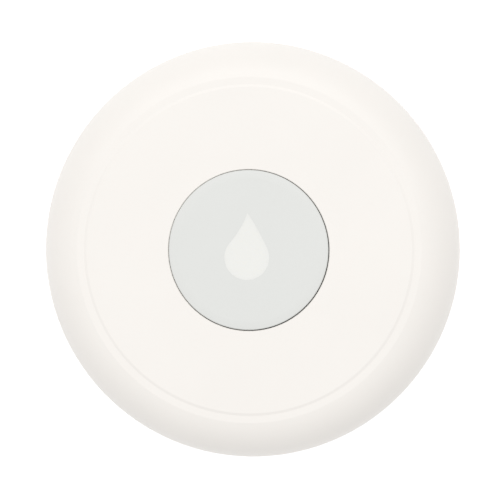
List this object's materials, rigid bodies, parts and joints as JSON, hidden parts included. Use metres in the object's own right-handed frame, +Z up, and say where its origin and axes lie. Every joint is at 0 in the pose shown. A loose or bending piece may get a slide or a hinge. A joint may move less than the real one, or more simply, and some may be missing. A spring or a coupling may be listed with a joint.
{
  "type": "water leak sensor",
  "caption": "Round white water leak sensor on metal probe feet, with a grey push button that carries a drop mark and a top cover that lifts off for the battery.",
  "frame": {"origin": "centre of the puck on the floor plane, where the tips of the probe feet rest", "axes": "+Z up out of the button, +Y the way the drop mark points, +X to the right as the mark is read; the cell lies along X with its positive end at +X"},
  "size_m": [0.057, 0.057, 0.0222],
  "materials": {
    "white_plastic": "warm white moulded plastic, fine satin grain",
    "grey_plastic": "light grey moulded plastic, satin",
    "diffuser": "off-white translucent light guide, satin",
    "silicone": "milky silicone",
    "inner_plastic": "natural moulded plastic",
    "circuit_board": "green solder mask on glass laminate",
    "black_plastic": "black moulded plastic",
    "led_lens": "clear resin over a white cup",
    "gold_pad": "gold-plated pads",
    "seal_rubber": "black sealing rubber",
    "screw_steel": "zinc-plated steel",
    "stainless": "turned stainless steel",
    "spring_steel": "nickel-plated spring wire and strip",
    "tinned_steel": "tinned sheet steel",
    "cell_metal": "nickel-plated cell can",
    "cell_sleeve": "plain printed shrink sleeve, no wording",
    "vent_membrane": "thin white vent membrane, glued"
  },
  "bodies": {
    "base": {"base_cover": "white_plastic", "housing_seal": "seal_rubber", "housing_screws": "screw_steel", "probe_feet": "stainless", "probe_seals": "seal_rubber", "probe_clips": "spring_steel", "probe_springs": "spring_steel", "battery_can": "cell_metal", "battery_sleeve": "cell_sleeve", "negative_contact": "tinned_steel", "negative_spring": "spring_steel", "positive_contact": "tinned_steel", "vent_disc": "vent_membrane"},
    "housing": {"top_cover": "white_plastic", "button_membrane": "silicone", "membrane_ring": "inner_plastic", "main_pcb": "circuit_board", "pcb_screws": "screw_steel", "contact_pads": "gold_pad", "switch_body": "black_plastic", "status_led": "led_lens", "radio_board": "circuit_board", "radio_shield": "tinned_steel", "buzzer": "black_plastic", "pcb_components": "black_plastic"},
    "button": {"button_cap": "grey_plastic", "drop_inlay": "diffuser"},
    "plunger": {"switch_plunger": "inner_plastic"}
  },
  "joints": [
    {"name": "housing_lift", "type": "slide", "parent": "base", "child": "housing", "axis": [0, 0, 1], "range_m": [0, 0.03]},
    {"name": "button_press", "type": "slide", "parent": "housing", "child": "button", "axis": [0, 0, -1], "range_m": [0, 0.0004], "stiffness_N_per_m": 1000, "springref_m": -0.0015, "deforming": ["button_membrane"]},
    {"name": "plunger_travel", "type": "slide", "parent": "housing", "child": "plunger", "axis": [0, 0, -1], "range_m": [0, 0.0004]}
  ],
  "couplings": [
    {"joint": "plunger_travel", "follows": "button_press", "ratio": 1}
  ]
}
